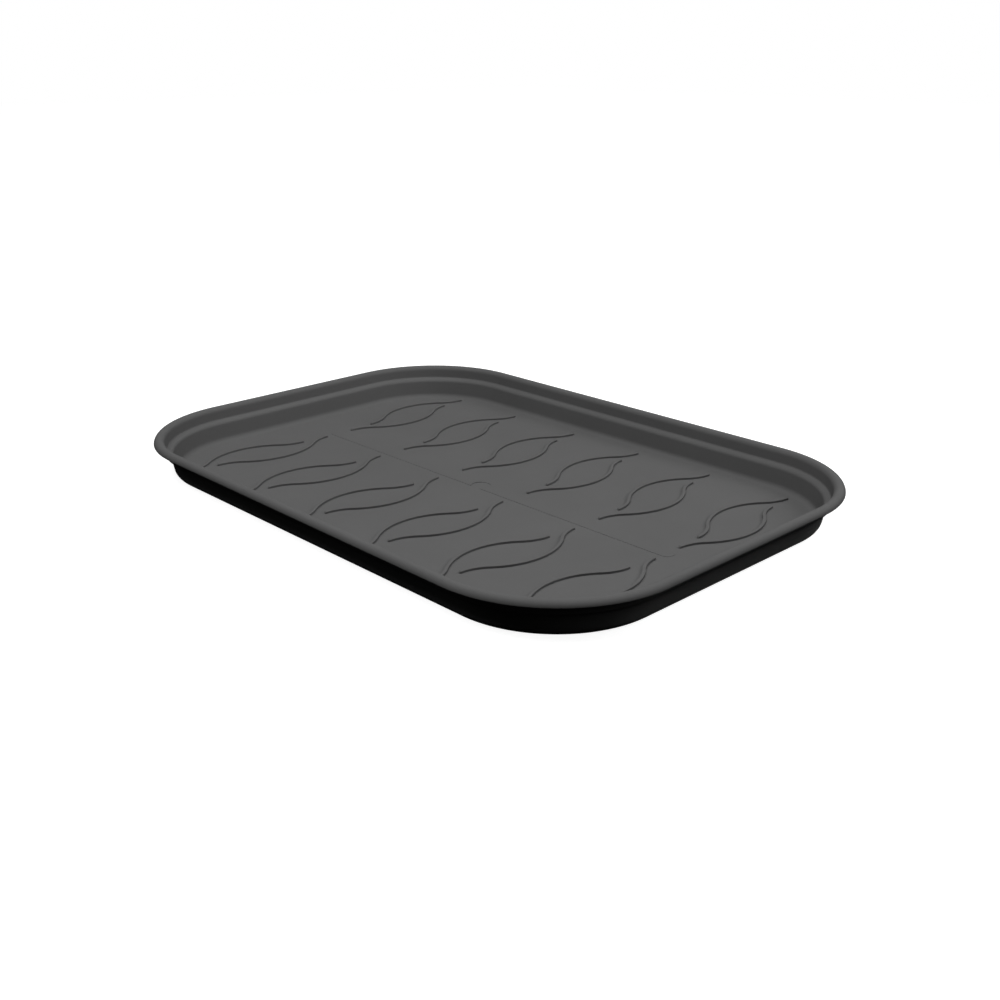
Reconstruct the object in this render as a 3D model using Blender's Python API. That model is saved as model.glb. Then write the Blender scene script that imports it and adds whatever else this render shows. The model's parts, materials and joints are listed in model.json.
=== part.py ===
"""Grow tray saucer: a shallow drip tray with rounded corners, moulded in one piece of plastic.

The wall is one sheet of even thickness. From outside to inside it runs from the lip of a
rolled rim over the rim, down to a sloping ledge, down again and into the floor. The floor
carries two rows of curved ribs, a low strip along the middle and a round gate recess.

Metres, +Z up, +X along the tray. The origin is the middle of the flat underside.
"""

import math

import bmesh
import bpy

# Overall size, over the rim
TRAY_LENGTH = 0.510
TRAY_WIDTH = 0.362
TRAY_HEIGHT = 0.0307
PLAN_CORNER_RADIUS = 0.096

# The moulded sheet
WALL_THICKNESS = 0.00235
FLOOR_THICKNESS = 0.00235

# Rolled rim and the ledge below it
RIM_RADIUS = 0.0044
LIP_DROP = 0.0042
LEDGE_DEPTH = 0.01063
LEDGE_WIDTH = 0.00469
LEDGE_SLOPE = math.radians(20)
LEDGE_CORNER_RADIUS = 0.0016
UNDER_LEDGE_RADIUS = 0.00095

# Walls and the turn into the floor
UPPER_WALL_DRAFT = math.radians(8)
LOWER_WALL_DRAFT = math.radians(10)
FLOOR_CORNER_RADIUS = 0.0036

# Curved ribs, in pairs that face each other
RIB_COLUMNS = 6
RIB_PITCH = 0.0744
RIB_ROW_OFFSET = 0.0809
RIB_HALF_LENGTH = 0.0560
RIB_BULGE = 0.01984
RIB_TIP_OFFSET = 0.0011
RIB_TIP_RADIUS = 0.0336
RIB_STAGGER = 0.0120
RIB_WIDTH = 0.0026
RIB_HEIGHT = 0.0015
RIB_DRAFT = math.radians(3)
RIB_EDGE_RADIUS = 0.0003

# Strip along the middle of the floor and the gate recess in it
STRIP_LENGTH = 0.3845
STRIP_WIDTH = 0.0118
STRIP_HEIGHT = 0.0003
GATE_DIAMETER = 0.0158
GATE_DEPTH = 0.0005

# How finely round shapes are cut into flats
PLAN_CORNER_FLATS = 12
RIM_FLATS = 6
FILLET_FLATS = 4
RIB_BEND_FLATS = 6
RIB_TIP_FLATS = 3
RIB_EDGE_FLATS = 2
GATE_FLATS = 32

# How far an added shape is sunk into the floor before it is joined to it
SINK = 0.4 * FLOOR_THICKNESS


def clear_scene():
    for obj in list(bpy.data.objects):
        bpy.data.objects.remove(obj, do_unlink=True)


def plastic():
    """Dark grey matt plastic."""
    material = bpy.data.materials.new("dark_grey_plastic")
    material.use_nodes = True
    shader = material.node_tree.nodes["Principled BSDF"]
    shader.inputs["Base Color"].default_value = (0.105, 0.105, 0.105, 1.0)
    shader.inputs["Roughness"].default_value = 0.55
    shader.inputs["Metallic"].default_value = 0.0
    return material


def arc(centre, radius, start, end, flats):
    """Points of an arc in the section plane with their unit normals, ends included."""
    found = []
    for step in range(flats + 1):
        angle = start + (end - start) * step / flats
        normal = (math.cos(angle), math.sin(angle))
        point = (centre[0] + radius * normal[0], centre[1] + radius * normal[1])
        found.append((point, normal))
    return found


def sheet_section():
    """The upper face of the sheet, from the lip to the floor, as (inset, depth), normal, thickness.

    Inset is measured in from the rim's outline and depth down from the rim's top.
    Each normal points out of the upper face.
    """
    upper = UPPER_WALL_DRAFT
    lower = LOWER_WALL_DRAFT
    slope = LEDGE_SLOPE
    floor_depth = TRAY_HEIGHT - FLOOR_THICKNESS

    # Over the rim, from the lip to where the upper wall leaves it
    rim = (RIM_RADIUS, RIM_RADIUS)
    lip_angle = math.pi + math.asin((RIM_RADIUS - LIP_DROP) / RIM_RADIUS)
    top_angle = 1.5 * math.pi
    section = arc(rim, RIM_RADIUS, lip_angle, top_angle, RIM_FLATS)
    section += arc(rim, RIM_RADIUS, top_angle, 2 * math.pi - upper, RIM_FLATS)[1:]
    leave = section[-1][0]

    # Where the straight faces would meet if nothing were rounded
    ledge_start = leave[0] + (LEDGE_DEPTH - leave[1]) * math.tan(upper)
    ledge_end = ledge_start + LEDGE_WIDTH
    ledge_end_depth = LEDGE_DEPTH + LEDGE_WIDTH * math.tan(slope)
    floor_start = ledge_end + (floor_depth - ledge_end_depth) * math.tan(lower)

    # Hollow corner between the upper wall and the ledge
    radius = LEDGE_CORNER_RADIUS
    turn = math.pi / 2 - upper - slope
    reach = radius * math.tan(turn / 2)
    centre = (
        ledge_start - reach * math.sin(upper) + radius * math.cos(upper),
        LEDGE_DEPTH - reach * math.cos(upper) - radius * math.sin(upper),
    )
    section += inward(arc(centre, radius, math.pi - upper, math.pi / 2 + slope, FILLET_FLATS))

    # Rounded edge between the ledge and the lower wall
    radius = UNDER_LEDGE_RADIUS + WALL_THICKNESS
    turn = math.pi / 2 - lower - slope
    reach = radius * math.tan(turn / 2)
    centre = (
        ledge_end - reach * math.cos(slope) - radius * math.sin(slope),
        ledge_end_depth - reach * math.sin(slope) + radius * math.cos(slope),
    )
    section += arc(centre, radius, slope - math.pi / 2, -lower, FILLET_FLATS)

    # Hollow corner between the lower wall and the floor
    radius = FLOOR_CORNER_RADIUS
    turn = math.pi / 2 - lower
    reach = radius * math.tan(turn / 2)
    centre = (floor_start + reach, floor_depth - radius)
    corner = inward(arc(centre, radius, math.pi - lower, math.pi / 2, FILLET_FLATS + 1))
    thicknesses = [WALL_THICKNESS] * len(section)
    for step in range(len(corner)):
        share = step / (len(corner) - 1)
        thicknesses.append(WALL_THICKNESS + (FLOOR_THICKNESS - WALL_THICKNESS) * share)
    section += corner
    return [(point, normal, t) for (point, normal), t in zip(section, thicknesses)]


def inward(points):
    """The same arc with its normals turned to its centre, as on a hollow corner."""
    return [(point, (-normal[0], -normal[1])) for point, normal in points]


def plan_ring(inset):
    """A rounded rectangle, the tray's outline moved in by inset."""
    radius = PLAN_CORNER_RADIUS - inset
    across = TRAY_LENGTH / 2 - PLAN_CORNER_RADIUS
    along = TRAY_WIDTH / 2 - PLAN_CORNER_RADIUS
    ring = []
    for quarter, (x, y) in enumerate(((across, along), (-across, along), (-across, -along), (across, -along))):
        for step in range(PLAN_CORNER_FLATS + 1):
            angle = (quarter + step / PLAN_CORNER_FLATS) * math.pi / 2
            ring.append((x + radius * math.cos(angle), y + radius * math.sin(angle)))
    return ring


def mesh_object(name, build):
    """A new object whose mesh is filled by build and has its faces pointing out."""
    mesh = bpy.data.meshes.new(name)
    shape = bmesh.new()
    build(shape)
    bmesh.ops.recalc_face_normals(shape, faces=shape.faces)
    shape.to_mesh(mesh)
    shape.free()
    obj = bpy.data.objects.new(name, mesh)
    bpy.context.scene.collection.objects.link(obj)
    return obj


def loft(shape, rings):
    """Closed rings of equal length joined side to side, with the first and last ring filled."""
    rows = [[shape.verts.new(point) for point in ring] for ring in rings]
    count = len(rows[0])
    for low, high in zip(rows, rows[1:]):
        for k in range(count):
            shape.faces.new((low[k], low[(k + 1) % count], high[(k + 1) % count], high[k]))
    shape.faces.new(rows[0])
    shape.faces.new(rows[-1])


def build_shell(shape):
    """The bare tray: the upper face from the floor out to the lip, then back under it."""
    section = sheet_section()
    upper_face = [point for point, normal, t in section]
    under_face = [(p[0] - n[0] * t, p[1] - n[1] * t) for p, n, t in section]
    under_face[0] = (under_face[0][0], upper_face[0][1])
    rings = []
    for inset, depth in upper_face[::-1] + under_face:
        rings.append([(x, y, TRAY_HEIGHT - depth) for x, y in plan_ring(inset)])
    loft(shape, rings)


def rib_path():
    """The centre line of a left rib, as (across, along, angle) from the pair's axis and its own middle.

    A wide arc bulges out and a tighter arc at each end brings it back parallel to the axis.
    """
    both_radii = (RIB_HALF_LENGTH**2 + RIB_BULGE**2) / (2 * RIB_BULGE)
    wide = both_radii - RIB_TIP_RADIUS
    wide_centre = wide - RIB_BULGE - RIB_TIP_OFFSET
    tip_centre = -RIB_TIP_OFFSET - RIB_TIP_RADIUS
    swing = math.asin(RIB_HALF_LENGTH / both_radii)
    path = []
    for step in range(RIB_TIP_FLATS):
        angle = swing * step / RIB_TIP_FLATS
        across = tip_centre + RIB_TIP_RADIUS * math.cos(angle)
        along = -RIB_HALF_LENGTH + RIB_TIP_RADIUS * math.sin(angle)
        path.append((across, along, -angle))
    for step in range(RIB_BEND_FLATS + 1):
        angle = swing * (2 * step / RIB_BEND_FLATS - 1)
        path.append((wide_centre - wide * math.cos(angle), wide * math.sin(angle), angle))
    tips = path[:RIB_TIP_FLATS]
    return path + [(across, -along, -angle) for across, along, angle in tips[::-1]]


def rib_section(scale):
    """A rib across its run, with steep sides and a flat crown, closed by two points sunk into the floor."""
    half = RIB_WIDTH / 2
    centre = (half - RIB_HEIGHT * math.tan(RIB_DRAFT) - RIB_EDGE_RADIUS, RIB_HEIGHT - RIB_EDGE_RADIUS)
    edge = arc(centre, RIB_EDGE_RADIUS, 0.0, math.pi / 2, RIB_EDGE_FLATS)
    right = [(half, -SINK), (half, 0.0)] + [point for point, normal in edge]
    left = [(-offset, lift) for offset, lift in right[::-1]]
    return [(offset * scale, lift * scale) for offset, lift in right + left]


def rib_stations():
    """The rib's path with the edges of its flat ends rounded, as (across, along, angle, scale of the section)."""
    path = rib_path()
    across, along, _ = path[0]
    tip = []
    for step in range(RIB_EDGE_FLATS + 1):
        turn = math.pi / 2 * step / RIB_EDGE_FLATS
        inset = RIB_EDGE_RADIUS * (1 - math.cos(turn))
        shrink = RIB_EDGE_RADIUS * (1 - math.sin(turn)) / (RIB_WIDTH / 2)
        tip.append((across, along + inset, 0.0, 1 - shrink))
    other = [(across, -along, 0.0, scale) for across, along, _, scale in tip[::-1]]
    return tip + [(*spot, 1.0) for spot in path[1:-1]] + other


def build_rib(shape, column, row, side):
    """One rib. Side -1 is a pair's left rib, and +1 is the same rib turned half round."""
    floor = FLOOR_THICKNESS
    column_x = (column - (RIB_COLUMNS - 1) / 2) * RIB_PITCH
    rings = []
    for across, along, angle, scale in rib_stations():
        ring = []
        for offset, lift in rib_section(scale):
            x = across + offset * math.cos(angle)
            y = along - offset * math.sin(angle) + RIB_STAGGER
            turned_x = -side * x
            turned_y = -side * y
            ring.append((column_x + turned_x, row * (RIB_ROW_OFFSET + turned_y), floor + lift))
        rings.append(ring)
    loft(shape, rings)


def build_strip(shape):
    """The low strip, a flat bar with round ends."""
    half = STRIP_WIDTH / 2
    straight = STRIP_LENGTH / 2 - half
    outline = []
    for side in (1, -1):
        for step in range(PLAN_CORNER_FLATS + 1):
            angle = math.pi * (step / PLAN_CORNER_FLATS - 0.5)
            x = side * (straight + half * math.cos(angle))
            outline.append((x, side * half * math.sin(angle)))
    heights = (FLOOR_THICKNESS - SINK, FLOOR_THICKNESS + STRIP_HEIGHT)
    loft(shape, [[(x, y, z) for x, y in outline] for z in heights])


def build_gate(shape):
    """The cutter of the round recess, a short cylinder."""
    outline = []
    for step in range(GATE_FLATS):
        angle = 2 * math.pi * step / GATE_FLATS
        outline.append((GATE_DIAMETER / 2 * math.cos(angle), GATE_DIAMETER / 2 * math.sin(angle)))
    strip_top = FLOOR_THICKNESS + STRIP_HEIGHT
    heights = (strip_top - GATE_DEPTH, strip_top + RIB_HEIGHT)
    loft(shape, [[(x, y, z) for x, y in outline] for z in heights])


def combine(target, tool, operation):
    """Adds a Boolean with the tool, which then stays as a hidden helper."""
    modifier = target.modifiers.new(tool.name, "BOOLEAN")
    modifier.operation = operation
    modifier.solver = "EXACT"
    modifier.object = tool
    tool.hide_render = True
    tool.display_type = "WIRE"


def build_ribs(shape):
    for column in range(RIB_COLUMNS):
        for row in (1, -1):
            for side in (-1, 1):
                build_rib(shape, column, row, side)


def main():
    clear_scene()
    saucer = mesh_object("saucer", build_shell)
    saucer.data.materials.append(plastic())
    saucer.data.shade_smooth()
    saucer.data.set_sharp_from_angle(angle=math.radians(40))
    combine(saucer, mesh_object("strip_helper", build_strip), "UNION")
    combine(saucer, mesh_object("rib_helper", build_ribs), "UNION")
    combine(saucer, mesh_object("gate_cutter", build_gate), "DIFFERENCE")


main()
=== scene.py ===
"""Looks of the grow tray saucer: the one moulded piece in fine detail, its dark plastic and the studio.

Metres, +Z up, +X along the tray, with the origin in the middle of the flat underside.
"""

import json
import math

import bmesh
import bpy
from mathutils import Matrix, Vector

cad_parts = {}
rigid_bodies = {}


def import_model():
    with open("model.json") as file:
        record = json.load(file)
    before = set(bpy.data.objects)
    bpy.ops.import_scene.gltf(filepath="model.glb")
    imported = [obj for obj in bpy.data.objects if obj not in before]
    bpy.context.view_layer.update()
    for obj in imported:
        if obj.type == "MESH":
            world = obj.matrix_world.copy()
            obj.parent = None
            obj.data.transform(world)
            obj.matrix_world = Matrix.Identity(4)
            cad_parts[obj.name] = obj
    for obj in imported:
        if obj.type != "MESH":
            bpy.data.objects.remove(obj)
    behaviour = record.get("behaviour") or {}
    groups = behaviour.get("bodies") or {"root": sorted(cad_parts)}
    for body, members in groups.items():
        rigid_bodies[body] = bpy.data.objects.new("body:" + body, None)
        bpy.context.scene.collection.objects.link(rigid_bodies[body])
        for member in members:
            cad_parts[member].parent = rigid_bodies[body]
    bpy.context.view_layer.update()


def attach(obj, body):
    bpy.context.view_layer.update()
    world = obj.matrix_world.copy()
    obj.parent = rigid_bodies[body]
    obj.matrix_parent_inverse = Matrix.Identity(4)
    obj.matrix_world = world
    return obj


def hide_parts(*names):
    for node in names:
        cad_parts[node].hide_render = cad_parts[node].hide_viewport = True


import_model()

# The tray over its rim
TRAY_LENGTH = 0.510
TRAY_WIDTH = 0.362
TRAY_HEIGHT = 0.0307
PLAN_CORNER_RADIUS = 0.096
PLAN_CORNER_FLATS = 40

# The moulded sheet
SHEET = 0.00235
FLOOR_TOP = 0.00235
FLOOR_DEPTH = TRAY_HEIGHT - FLOOR_TOP

# Rolled rim, walls and ledge
RIM_RADIUS = 0.0044
LIP_DROP = 0.0042
LIP_EDGE_RADIUS = 0.0002
LEDGE_DEPTH = 0.01063
LEDGE_WIDTH = 0.00469
LEDGE_SLOPE = math.radians(20)
LEDGE_CORNER_RADIUS = 0.0016
STEP_RADIUS = 0.0033
UPPER_WALL_DRAFT = math.radians(8)
LOWER_WALL_DRAFT = math.radians(10)
FLOOR_CORNER_RADIUS = 0.0045

# Where the curved ribs stand, and their curve seen from above
RIB_COLUMNS = 6
RIB_PITCH = 0.0744
RIB_ROW_OFFSET = 0.0809
RIB_HALF_LENGTH = 0.0560
RIB_BULGE = 0.01984
RIB_TIP_OFFSET = 0.0011
RIB_TIP_RADIUS = 0.0336
RIB_STAGGER = 0.0120
RIB_STATIONS = 64

# A rib across its run
RIB_WIDTH = 0.0026
RIB_HEIGHT = 0.00195
RIB_DRAFT = math.radians(0.5)
RIB_EDGE_RADIUS = 0.00015
RIB_CROWN_RISE = 0.0003
RIB_CROWN_SLOPE = math.radians(30)
RIB_CROWN_RADIUS = 0.0018
RIB_FOOT_RADIUS = 0.00015
RIB_END_RADIUS = 0.0018
RIB_END_SHRINK = 0.95
RIB_SINK = 0.0004

# Strip along the middle and the gate recess in it
STRIP_LENGTH = 0.3845
STRIP_WIDTH = 0.0118
STRIP_HEIGHT = 0.0003
GATE_DIAMETER = 0.0158
GATE_DEPTH = 0.00065
GATE_DOME = 0.0003
MARK_EDGE_RADIUS = 0.00012
MARK_ARC_FLATS = 24
DOME_RINGS = (0.8, 0.6, 0.4, 0.2)

# How finely the sheet and the ribs are rounded
SHEET_STEP = math.radians(7)
SHEET_GUARD = 0.0003
RIB_STEP = math.radians(15)
RIB_GUARD = 0.00008
LIP_FLATS = 4
LEAST_ARC_FLATS = 4
SHARP_ANGLE = math.radians(40)
MARK_SHARP_ANGLE = math.radians(30)

# Dark plastic
PLASTIC_COLOUR = (0.116, 0.116, 0.116)
GRAIN_SCALE = 2600.0
GRAIN_DEPTH = 0.0001
CLOUD_SCALE = 14.0

# Studio
LAMP_DISTANCE = 1.6
LAMP_SIZE = 0.75
STUDIO_HALF_SIZE = 6.0
STUDIO_FLOOR_DROP = 0.0001
CAMERA_PLACE = (0.6541, -0.6085, 0.3322)
CAMERA_AIM = (0.0868, -0.0626, 0.0307)
CAMERA_LENS = 43.409
CAMERA_FILM = 36.0
WORLD_LIGHT = 0.004
FLOOR_BOUNCE = 0.01
FLOOR_SHADE = 0.5
FLOOR_GLOW = 0.92
GLOW_GROWS_FROM = 0.35
GLOW_FULL_AT = 0.75


class Tree:
    """A Geometry Nodes tree with named size inputs, built in order."""

    def __init__(self, name):
        self.group = bpy.data.node_groups.new(name, "GeometryNodeTree")
        self.add_input("Section", "NodeSocketGeometry")
        self.group.interface.new_socket("Piece", in_out="OUTPUT", socket_type="NodeSocketGeometry")
        self.start = self.group.nodes.new("NodeGroupInput")
        self.end = self.group.nodes.new("NodeGroupOutput")
        self.section = self.start.outputs["Section"]

    def add_input(self, name, kind="NodeSocketFloat"):
        self.group.interface.new_socket(name, in_out="INPUT", socket_type=kind)

    def size(self, name, kind="NodeSocketFloat"):
        """Adds a named input and returns its socket inside the tree."""
        self.add_input(name, kind)
        return self.start.outputs[name]

    def feed(self, socket, value):
        if isinstance(value, bpy.types.NodeSocket):
            self.group.links.new(value, socket)
        else:
            socket.default_value = value

    def node(self, kind, settings=None, **inputs):
        """A geometry node with its inputs given by name, with underscores for spaces."""
        made = self.group.nodes.new(kind)
        for name, value in (settings or {}).items():
            setattr(made, name, value)
        for name, value in inputs.items():
            self.feed(made.inputs[name.replace("_", " ")], value)
        return made.outputs[0]

    def maths(self, operation, *values):
        made = self.group.nodes.new("ShaderNodeMath")
        made.operation = operation
        for socket, value in zip(made.inputs, values):
            self.feed(socket, value)
        return made.outputs[0]

    def vector(self, x=0.0, y=0.0, z=0.0):
        made = self.group.nodes.new("ShaderNodeCombineXYZ")
        for socket, value in zip(made.inputs, (x, y, z)):
            self.feed(socket, value)
        return made.outputs[0]

    def finish(self, geometry, material):
        real = self.node("GeometryNodeRealizeInstances", Geometry=geometry)
        painted = self.node("GeometryNodeSetMaterial", Geometry=real, Material=material)
        self.feed(self.end.inputs[0], painted)


def finished_mesh(piece):
    """A plain mesh of the piece with its modifiers applied."""
    return bpy.data.meshes.new_from_object(piece.evaluated_get(bpy.context.evaluated_depsgraph_get()))


def grow(name, section, closed, tree, sizes):
    """Runs a tree on a section polyline with its sizes set, and returns the plain mesh."""
    count = len(section)
    edges = [(k, (k + 1) % count) for k in range(count if closed else count - 1)]
    base = bpy.data.meshes.new(name)
    base.from_pydata([(x, y, 0.0) for x, y in section], edges, [])
    piece = bpy.data.objects.new(name, base)
    bpy.context.scene.collection.objects.link(piece)
    modifier = piece.modifiers.new(name, "NODES")
    modifier.node_group = tree.group
    for item in tree.group.interface.items_tree:
        if item.in_out == "INPUT" and item.name in sizes:
            modifier[item.identifier] = sizes[item.name]
    mesh = finished_mesh(piece)
    bpy.data.objects.remove(piece)
    return mesh


def side_step(corners, distance):
    """The corners of the polyline moved to its right by a distance, with their radii to match."""
    lines = []
    for (x0, y0, _), (x1, y1, _) in zip(corners, corners[1:]):
        along = Vector((x1 - x0, y1 - y0)).normalized()
        right = Vector((along.y, -along.x))
        lines.append((Vector((x0, y0)) + right * distance, along))
    moved = [(*lines[0][0], 0.0)]
    for (p, u), (q, v), (_, _, radius) in zip(lines, lines[1:], corners[1:]):
        turn = u.x * v.y - u.y * v.x
        reach = ((q.x - p.x) * v.y - (q.y - p.y) * v.x) / turn
        moved.append((*(p + u * reach), radius + distance * math.copysign(1, turn)))
    last, along = lines[-1]
    end = Vector(corners[-1][:2])
    moved.append((*(last + along * (end - last).dot(along)), 0.0))
    return moved


def rounded(corners, step, guard):
    """Points of a polyline with rounded corners, and a guard point beside both ends of each long flat."""
    points = [Vector(corners[0][:2])]

    def flat_to(target):
        run = target - points[-1]
        if run.length > 4 * guard:
            points.append(points[-1] + run.normalized() * guard)
            points.append(target - run.normalized() * guard)
        if run.length > 1e-6:
            points.append(target)

    for (x0, y0, _), (x, y, radius), (x1, y1, _) in zip(corners, corners[1:], corners[2:]):
        u = Vector((x - x0, y - y0)).normalized()
        v = Vector((x1 - x, y1 - y)).normalized()
        turn = math.atan2(u.x * v.y - u.y * v.x, u.dot(v))
        side = Vector((-u.y, u.x)) * math.copysign(1, turn)
        start = Vector((x, y)) - u * radius * math.tan(abs(turn) / 2)
        flat_to(start)
        flats = max(LEAST_ARC_FLATS, math.ceil(abs(turn) / step))
        for k in range(1, flats + 1):
            angle = abs(turn) * k / flats
            points.append(start + u * radius * math.sin(angle) + side * radius * (1 - math.cos(angle)))
    flat_to(Vector(corners[-1][:2]))
    return [tuple(point) for point in points]


def wall_section():
    """The sheet from the floor over the rim and back under it, as inset and depth from the rim."""
    wall_top = RIM_RADIUS + RIM_RADIUS * math.tan(math.pi / 4 - UPPER_WALL_DRAFT / 2)
    ledge_start = wall_top + LEDGE_DEPTH * math.tan(UPPER_WALL_DRAFT)
    ledge_end = ledge_start + LEDGE_WIDTH
    ledge_end_depth = LEDGE_DEPTH + LEDGE_WIDTH * math.tan(LEDGE_SLOPE)
    floor_start = ledge_end + (FLOOR_DEPTH - ledge_end_depth) * math.tan(LOWER_WALL_DRAFT)
    upper = [
        (floor_start + 2 * FLOOR_CORNER_RADIUS, FLOOR_DEPTH, 0.0),
        (floor_start, FLOOR_DEPTH, FLOOR_CORNER_RADIUS),
        (ledge_end, ledge_end_depth, STEP_RADIUS),
        (ledge_start, LEDGE_DEPTH, LEDGE_CORNER_RADIUS),
        (wall_top, 0.0, RIM_RADIUS),
        (0.0, 0.0, RIM_RADIUS),
        (0.0, 2 * RIM_RADIUS, 0.0),
    ]
    edge = LIP_EDGE_RADIUS
    over = rounded(upper, SHEET_STEP, SHEET_GUARD)
    under = rounded(side_step(upper, SHEET), SHEET_STEP, SHEET_GUARD)[::-1]
    over = [point for point in over if point[0] > RIM_RADIUS or point[1] < LIP_DROP - edge]
    under = [point for point in under if point[0] > RIM_RADIUS or point[1] < LIP_DROP - edge]
    lip = []
    start = RIM_RADIUS - math.sqrt(RIM_RADIUS**2 - (RIM_RADIUS - LIP_DROP + edge) ** 2)
    for k in range(LIP_FLATS + 1):
        angle = math.pi / 2 * k / LIP_FLATS
        lip.append((start + edge * (1 - math.cos(angle)), LIP_DROP - edge * (1 - math.sin(angle))))
    lip += [(SHEET + start - inset, depth) for inset, depth in lip[::-1]]
    return over + lip + under


def sweep_tree(material):
    """Sweeps the section round a rectangle with rounded corners."""
    tree = Tree("wall round the tray")
    rectangle = tree.node(
        "GeometryNodeCurvePrimitiveQuadrilateral", Width=tree.size("Length"), Height=tree.size("Width")
    )
    outline = tree.node(
        "GeometryNodeFilletCurve",
        {"mode": "POLY"},
        Curve=rectangle,
        Radius=tree.size("Corner Radius"),
        Count=tree.size("Corner Flats", "NodeSocketInt"),
    )
    height = tree.vector(z=tree.size("Height"))
    raised = tree.node("GeometryNodeSetPosition", Geometry=outline, Offset=height)
    profile = tree.node("GeometryNodeMeshToCurve", Mesh=tree.section)
    tree.finish(tree.node("GeometryNodeCurveToMesh", Curve=raised, Profile_Curve=profile), material)
    return tree


def arc_fall(tree, radius, reach):
    """How far an arc of this radius has fallen from its tangent at a reach along that tangent."""
    squares = tree.maths("SUBTRACT", tree.maths("POWER", radius, 2.0), tree.maths("POWER", reach, 2.0))
    return tree.maths("SUBTRACT", radius, tree.maths("SQRT", squares))


def rib_line(tree, sizes, turned, mirrored):
    """One rib's centre line: a wide arc that bulges out, and a tighter arc back at each end."""
    half, bulge, tip_offset, tip_radius, stagger, row_offset, stations = sizes
    line = tree.node("GeometryNodeCurvePrimitiveLine", Start=(0.0, -1.0, 0.0), End=(0.0, 1.0, 0.0))
    line = tree.node("GeometryNodeResampleCurve", Curve=line, Count=stations)
    position = tree.group.nodes.new("GeometryNodeInputPosition").outputs[0]
    split = tree.group.nodes.new("ShaderNodeSeparateXYZ")
    tree.feed(split.inputs[0], position)
    # The stations crowd towards the tips, where the rib is rounded off
    quarter = tree.maths("MULTIPLY", split.outputs[1], math.pi / 2)
    along = tree.maths("MULTIPLY", half, tree.maths("SINE", quarter))
    both = tree.maths(
        "DIVIDE",
        tree.maths("ADD", tree.maths("POWER", half, 2.0), tree.maths("POWER", bulge, 2.0)),
        tree.maths("MULTIPLY", bulge, 2.0),
    )
    wide = tree.maths("SUBTRACT", both, tip_radius)
    change = tree.maths("DIVIDE", tree.maths("MULTIPLY", half, wide), both)
    distance = tree.maths("ABSOLUTE", along)
    wide_fall = arc_fall(tree, wide, distance)
    wide_out = tree.maths("SUBTRACT", tree.maths("ADD", bulge, tip_offset), wide_fall)
    to_tip = tree.maths("SUBTRACT", half, distance)
    tip_rise = arc_fall(tree, tip_radius, to_tip)
    tip_out = tree.maths("ADD", tip_offset, tip_rise)
    near_tip = tree.maths("GREATER_THAN", distance, change)
    out = tree.maths(
        "ADD",
        tree.maths("MULTIPLY", near_tip, tip_out),
        tree.maths("MULTIPLY", tree.maths("SUBTRACT", 1.0, near_tip), wide_out),
    )
    x = tree.maths("MULTIPLY", out, 1.0 if turned else -1.0)
    y = tree.maths("ADD", along, tree.maths("MULTIPLY", stagger, -1.0 if turned else 1.0))
    y = tree.maths("MULTIPLY", tree.maths("ADD", y, row_offset), -1.0 if mirrored else 1.0)
    return tree.node("GeometryNodeSetPosition", Geometry=line, Position=tree.vector(x, y))


def rib_tree(material):
    """Sweeps the section along both ribs of a pair in both rows, and repeats them along the floor."""
    tree = Tree("curved ribs")
    names = ("Half Length", "Bulge", "Tip Offset", "Tip Radius", "Stagger", "Row Offset")
    sizes = [tree.size(name) for name in names] + [tree.size("Stations", "NodeSocketInt")]
    floor = tree.size("Floor Height")
    round_off = tree.size("Round Off")
    shrink = tree.size("End Shrink")
    columns = tree.size("Columns", "NodeSocketInt")
    pitch = tree.size("Pitch")
    profile = tree.node("GeometryNodeMeshToCurve", Mesh=tree.section)
    join = tree.group.nodes.new("GeometryNodeJoinGeometry")
    for mirrored in (False, True):
        for turned in (False, True):
            tree.feed(join.inputs[0], rib_line(tree, sizes, turned, mirrored))
    lines = tree.node("GeometryNodeSetCurveNormal", {"mode": "Z_UP"}, Curve=join.outputs[0])
    # The ends are rounded noses: the section shrinks over the last stretch
    reach = tree.group.nodes.new("GeometryNodeSplineParameter").outputs["Length"]
    total = tree.group.nodes.new("GeometryNodeSplineLength").outputs["Length"]
    left = tree.maths("MINIMUM", reach, tree.maths("SUBTRACT", total, reach))
    lack = tree.maths("SUBTRACT", 1.0, tree.maths("MINIMUM", tree.maths("DIVIDE", left, round_off), 1.0))
    scale = tree.maths("SUBTRACT", 1.0, tree.maths("MULTIPLY", arc_fall(tree, 1.0, lack), shrink))
    ribs = tree.node(
        "GeometryNodeCurveToMesh", Curve=lines, Profile_Curve=profile, Scale=scale, Fill_Caps=True
    )
    span = tree.maths("MULTIPLY", pitch, tree.maths("SUBTRACT", columns, 1.0))
    spots = tree.node(
        "GeometryNodeMeshLine",
        Count=columns,
        Start_Location=tree.vector(x=tree.maths("MULTIPLY", span, -0.5), z=floor),
        Offset=tree.vector(x=pitch),
    )
    tree.finish(tree.node("GeometryNodeInstanceOnPoints", Points=spots, Instance=ribs), material)
    return tree


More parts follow.
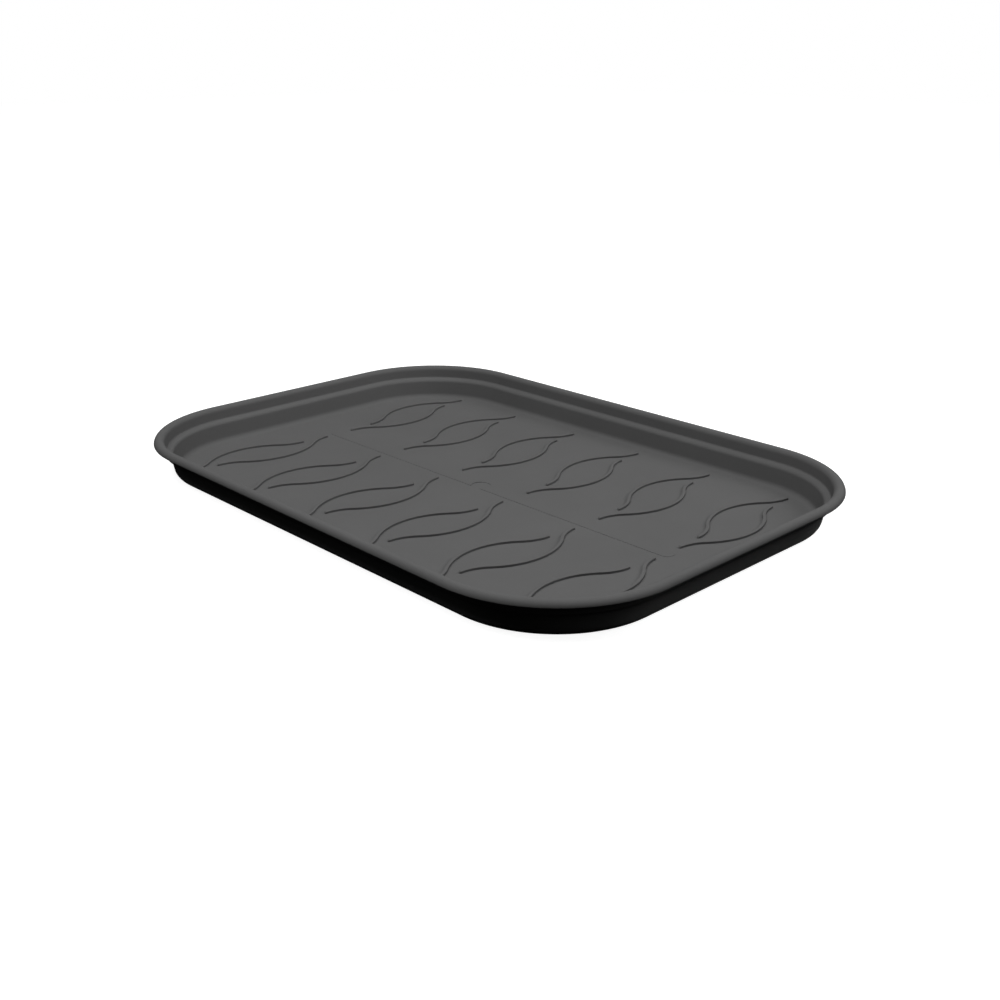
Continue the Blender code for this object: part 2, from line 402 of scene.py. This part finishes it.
def rib_section():
    """A rib across its run: steep sides on a small foot and a domed crown, closed below the floor."""
    half = RIB_WIDTH / 2
    lean = RIB_HEIGHT * math.tan(RIB_DRAFT)
    foot = half + RIB_FOOT_RADIUS * math.tan(math.pi / 4 - RIB_DRAFT / 2)
    crown = RIB_CROWN_RISE / math.tan(RIB_CROWN_SLOPE)
    corners = [
        (foot, 0.0, 0.0),
        (half, 0.0, RIB_FOOT_RADIUS),
        (half - lean, RIB_HEIGHT - RIB_CROWN_RISE, RIB_EDGE_RADIUS),
        (half - lean - crown, RIB_HEIGHT, RIB_CROWN_RADIUS),
        (0.0, RIB_HEIGHT, 0.0),
    ]
    right = [(foot, -RIB_SINK)] + rounded(corners, RIB_STEP, RIB_GUARD)
    # The sweep turns the section over, so heights are written downwards
    return [(x, -y) for x, y in right] + [(-x, -y) for x, y in right[-2::-1]]


def loop_edges(ring):
    """The edges round a closed ring of vertices."""
    found = []
    for a, b in zip(ring, ring[1:] + ring[:1]):
        found.append(next(edge for edge in a.link_edges if edge.other_vert(a) is b))
    return found


def open_loops(shape):
    """The loops of edges round the holes of a mesh, the lowest first."""
    loops = []
    taken = set()
    for first in [edge for edge in shape.edges if edge.is_boundary]:
        if first in taken:
            continue
        loop = []
        ahead = first.verts[0]
        following = [first]
        while following:
            taken.add(following[0])
            loop.append(following[0])
            ahead = following[0].other_vert(ahead)
            following = [edge for edge in ahead.link_edges if edge.is_boundary and edge not in taken]
        loops.append(loop)
    return sorted(loops, key=lambda loop: loop[0].verts[0].co.z)


def add_marks(shape):
    """The raised strip with the round gate recess in its middle. Returns their outline on the floor."""
    radius = GATE_DIAMETER / 2
    half = STRIP_WIDTH / 2
    straight = STRIP_LENGTH / 2 - half
    meet = math.asin(half / radius)
    top = FLOOR_TOP + STRIP_HEIGHT
    bottom = top - GATE_DEPTH
    flats = MARK_ARC_FLATS

    def column(x, y, heights):
        return [shape.verts.new((x, y, z)) for z in heights]

    def wall(columns, low):
        for a, b in zip(columns, columns[1:]):
            shape.faces.new((a[low], b[low], b[low + 1], a[low + 1]))

    arcs = []
    for start, end, heights in (
        (-meet, meet, (bottom, FLOOR_TOP, top)),
        (meet, math.pi - meet, (bottom, FLOOR_TOP)),
        (math.pi - meet, math.pi + meet, (bottom, FLOOR_TOP, top)),
        (math.pi + meet, 2 * math.pi - meet, (bottom, FLOOR_TOP)),
    ):
        angles = [start + (end - start) * k / flats for k in range(flats + 1)]
        if len(heights) == 2:
            angles = angles[1:-1]
        arcs.append([column(radius * math.cos(a), radius * math.sin(a), heights) for a in angles])
    right, far, left, near = arcs
    round_wall = right + far + left + near
    wall(round_wall + round_wall[:1], 0)
    outer = [posts[0] for posts in round_wall]
    for share in DOME_RINGS:
        height = bottom + GATE_DOME * (1 - share**2)
        inner = []
        for posts in round_wall:
            x, y, _ = posts[0].co
            inner.append(shape.verts.new((x * share, y * share, height)))
        for a, b, c, d in zip(outer, outer[1:] + outer[:1], inner[1:] + inner[:1], inner):
            shape.faces.new((a, b, c, d))
        outer = inner
    shape.faces.new(outer)
    outline = []
    for arc, side, beyond in ((right, 1, far), (left, -1, near)):
        wall(arc, 1)
        posts = []
        for k in range(flats + 1):
            angle = math.pi * (k / flats - 0.5)
            x = side * (straight + half * math.cos(angle))
            posts.append(column(x, side * half * math.sin(angle), (FLOOR_TOP, top)))
        bar = [arc[0][1:]] + posts + [arc[-1][1:]]
        wall(bar, 0)
        shape.faces.new([post[1] for post in bar] + [post[2] for post in arc[-2:0:-1]])
        outline += [post[0] for post in bar] + [post[1] for post in beyond]
    return outline


def close_floor(shape):
    """Fills the base, and the floor with the strip and the gate recess in it."""
    base, floor = open_loops(shape)
    bmesh.ops.contextual_create(shape, geom=base)
    before = set(shape.edges)
    outline = add_marks(shape)
    bmesh.ops.triangle_fill(shape, use_beauty=True, edges=floor + loop_edges(outline))
    made = [edge for edge in shape.edges if edge not in before]
    edges = [edge for edge in made if edge.calc_face_angle(0.0) > MARK_SHARP_ANGLE]
    bmesh.ops.recalc_face_normals(shape, faces=shape.faces)
    bmesh.ops.bevel(
        shape,
        geom=edges,
        offset=MARK_EDGE_RADIUS,
        segments=2,
        profile=0.5,
        affect="EDGES",
        clamp_overlap=True,
    )


def build_saucer(material):
    """The whole moulding as one piece: the swept wall with its floor, and the ribs standing in it."""
    section = [(-inset, depth) for inset, depth in wall_section()]
    wall = grow(
        "wall",
        section,
        False,
        sweep_tree(material),
        {
            "Length": TRAY_LENGTH,
            "Width": TRAY_WIDTH,
            "Corner Radius": PLAN_CORNER_RADIUS,
            "Corner Flats": PLAN_CORNER_FLATS,
            "Height": TRAY_HEIGHT,
        },
    )
    ribs = grow(
        "ribs",
        rib_section(),
        True,
        rib_tree(material),
        {
            "Half Length": RIB_HALF_LENGTH,
            "Bulge": RIB_BULGE,
            "Tip Offset": RIB_TIP_OFFSET,
            "Tip Radius": RIB_TIP_RADIUS,
            "Stagger": RIB_STAGGER,
            "Row Offset": RIB_ROW_OFFSET,
            "Stations": RIB_STATIONS,
            "Floor Height": FLOOR_TOP,
            "Round Off": RIB_END_RADIUS,
            "End Shrink": RIB_END_SHRINK,
            "Columns": RIB_COLUMNS,
            "Pitch": RIB_PITCH,
        },
    )
    shape = bmesh.new()
    shape.from_mesh(wall)
    close_floor(shape)
    bmesh.ops.recalc_face_normals(shape, faces=shape.faces)
    stands = bmesh.new()
    stands.from_mesh(ribs)
    bmesh.ops.recalc_face_normals(stands, faces=stands.faces)
    stands.to_mesh(ribs)
    stands.free()
    shape.from_mesh(ribs)
    mesh = bpy.data.meshes.new("tray_saucer")
    shape.to_mesh(mesh)
    shape.free()
    mesh.materials.clear()
    mesh.materials.append(material)
    mesh.shade_smooth()
    mesh.set_sharp_from_angle(angle=SHARP_ANGLE)
    saucer = bpy.data.objects.new("tray_saucer", mesh)
    bpy.context.scene.collection.objects.link(saucer)
    # Large flats keep their own normal, so that small rounded edges don't shade them
    weighted = saucer.modifiers.new("weighted_normals", "WEIGHTED_NORMAL")
    weighted.keep_sharp = True
    saucer.data = finished_mesh(saucer)
    saucer.data.name = "tray_saucer_mesh"
    saucer.modifiers.remove(weighted)
    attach(saucer, "root")
    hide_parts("saucer")
    return saucer


def node_adder(tree):
    """A helper that adds a shader node to the tree, with its inputs given by name."""

    def add(kind, settings=None, **inputs):
        node = tree.nodes.new(kind)
        for key, value in (settings or {}).items():
            setattr(node, key, value)
        for key, value in inputs.items():
            socket = node.inputs[key.replace("_", " ")]
            if isinstance(value, bpy.types.NodeSocket):
                tree.links.new(value, socket)
            else:
                socket.default_value = value
        return node

    return add


def new_material(name):
    """A material with its node tree and its Principled BSDF, and a helper that adds nodes to the tree."""
    material = bpy.data.materials.new(name)
    material.use_nodes = True
    tree = material.node_tree
    return material, tree, tree.nodes["Principled BSDF"], node_adder(tree)


def plastic():
    """Dark grey polypropylene with the fine grain of its mould."""
    material, tree, shader, add = new_material("dark_grey_plastic")
    place = add("ShaderNodeTexCoord").outputs["Object"]
    grain = add("ShaderNodeTexNoise", Vector=place, Scale=GRAIN_SCALE, Detail=3.0, Roughness=0.6)
    cloud = add("ShaderNodeTexNoise", Vector=place, Scale=CLOUD_SCALE, Detail=3.0, Roughness=0.55)

    def spread(noise, low, high):
        value = noise.outputs["Fac"]
        made = add("ShaderNodeMapRange", Value=value, From_Min=0.3, From_Max=0.7, To_Min=low, To_Max=high)
        return made.outputs[0]

    both = add("ShaderNodeMath", {"operation": "MULTIPLY"})
    tree.links.new(spread(cloud, 0.97, 1.03), both.inputs[0])
    tree.links.new(spread(grain, 0.96, 1.04), both.inputs[1])
    tint = add("ShaderNodeVectorMath", {"operation": "SCALE"})
    tint.inputs[0].default_value = PLASTIC_COLOUR
    tree.links.new(both.outputs[0], tint.inputs["Scale"])
    tree.links.new(tint.outputs[0], shader.inputs["Base Color"])
    tree.links.new(spread(cloud, 0.54, 0.62), shader.inputs["Roughness"])
    bump = add("ShaderNodeBump", Strength=0.15, Distance=GRAIN_DEPTH, Height=grain.outputs["Fac"])
    tree.links.new(bump.outputs[0], shader.inputs["Normal"])
    shader.inputs["Specular IOR Level"].default_value = 0.0
    return material


def seen_directly(add, tree):
    """1 for rays that see the backdrop, also by gloss or through glass, and 0 for light that bounces."""
    path = add("ShaderNodeLightPath")
    first = add("ShaderNodeMath", {"operation": "MAXIMUM"})
    tree.links.new(path.outputs["Is Camera Ray"], first.inputs[0])
    tree.links.new(path.outputs["Is Glossy Ray"], first.inputs[1])
    second = add("ShaderNodeMath", {"operation": "MAXIMUM"})
    tree.links.new(first.outputs[0], second.inputs[0])
    tree.links.new(path.outputs["Is Transmission Ray"], second.inputs[1])
    return second.outputs[0]


def add_floor():
    """A pale floor that looks white, keeps the tray's shadow and sends little light back up."""
    material, tree, shader, add = new_material("studio_floor")
    shader.inputs["Roughness"].default_value = 1.0
    shader.inputs["Specular IOR Level"].default_value = 0.0
    seen = seen_directly(add, tree)
    reflects = add("ShaderNodeMapRange", Value=seen, To_Min=FLOOR_BOUNCE, To_Max=FLOOR_SHADE)
    colour = add("ShaderNodeCombineColor")
    for socket in colour.inputs:
        tree.links.new(reflects.outputs[0], socket)
    tree.links.new(colour.outputs[0], shader.inputs["Base Color"])
    # Far from the lamps the floor's own white takes over, so that no horizon shows
    place = add("ShaderNodeTexCoord").outputs["Object"]
    away = add("ShaderNodeVectorMath", {"operation": "LENGTH"})
    tree.links.new(place, away.inputs[0])
    white = add(
        "ShaderNodeMapRange",
        {"interpolation_type": "SMOOTHSTEP"},
        Value=away.outputs["Value"],
        From_Min=GLOW_GROWS_FROM,
        From_Max=GLOW_FULL_AT,
        To_Min=FLOOR_GLOW,
        To_Max=1.0,
    )
    glow = add("ShaderNodeMath", {"operation": "MULTIPLY"})
    tree.links.new(seen, glow.inputs[0])
    tree.links.new(white.outputs[0], glow.inputs[1])
    shader.inputs["Emission Color"].default_value = (1.0, 1.0, 1.0, 1.0)
    tree.links.new(glow.outputs[0], shader.inputs["Emission Strength"])
    mesh = bpy.data.meshes.new("studio_floor")
    half = STUDIO_HALF_SIZE
    corners = [(-half, -half, 0), (half, -half, 0), (half, half, 0), (-half, half, 0)]
    mesh.from_pydata(corners, [], [(0, 1, 2, 3)])
    mesh.materials.append(material)
    floor = bpy.data.objects.new("studio_floor", mesh)
    floor.location.z = -STUDIO_FLOOR_DROP
    bpy.context.scene.collection.objects.link(floor)


def add_world():
    """White where it is looked at, and almost dark as a light."""
    world = bpy.data.worlds.new("studio_world")
    world.use_nodes = True
    tree = world.node_tree
    background = tree.nodes["Background"]
    add = node_adder(tree)
    level = add("ShaderNodeMapRange", Value=seen_directly(add, tree), To_Min=WORLD_LIGHT, To_Max=1.0)
    background.inputs["Color"].default_value = (1.0, 1.0, 1.0, 1.0)
    tree.links.new(level.outputs[0], background.inputs["Strength"])
    bpy.context.scene.world = world


def add_lamp(name, compass, height, power):
    """A round softbox facing the tray, by its angle from +X, its angle above the table and its watts."""
    turn = math.radians(compass)
    rise = math.radians(height)
    towards = Vector((math.cos(turn) * math.cos(rise), math.sin(turn) * math.cos(rise), math.sin(rise)))
    data = bpy.data.lights.new(name, "AREA")
    data.shape = "DISK"
    data.size = LAMP_SIZE
    data.energy = power
    lamp = bpy.data.objects.new(name, data)
    lamp.location = towards * LAMP_DISTANCE
    lamp.rotation_mode = "QUATERNION"
    lamp.rotation_quaternion = towards.to_track_quat("Z", "Y")
    bpy.context.scene.collection.objects.link(lamp)


def add_camera():
    """The photograph's viewpoint: over the near right corner, 21 degrees above the table."""
    data = bpy.data.cameras.new("camera")
    data.sensor_width = CAMERA_FILM
    data.lens = CAMERA_LENS
    data.clip_start = 0.01
    camera = bpy.data.objects.new("camera", data)
    place = Vector(CAMERA_PLACE)
    camera.location = place
    camera.rotation_mode = "QUATERNION"
    camera.rotation_quaternion = (Vector(CAMERA_AIM) - place).to_track_quat("-Z", "Y")
    bpy.context.scene.collection.objects.link(camera)
    bpy.context.scene.camera = camera


for obj in list(bpy.data.objects):
    if obj.type in {"CAMERA", "LIGHT"}:
        bpy.data.objects.remove(obj)

build_saucer(plastic())
add_floor()
add_world()
add_lamp("key_softbox", 275, 60, 9.2)
add_lamp("overhead_softbox", 50, 78, 8.9)
add_lamp("right_softbox", 50, 37, 8.1)
add_lamp("low_right_softbox", 50, 18, 1.0)
add_lamp("front_right_softbox", 5, 35, 1.0)
add_lamp("left_softbox", 230, 65, 3.8)
add_lamp("low_left_softbox", 230, 35, 0.7)
add_camera()
bpy.context.scene.view_settings.view_transform = "Standard"
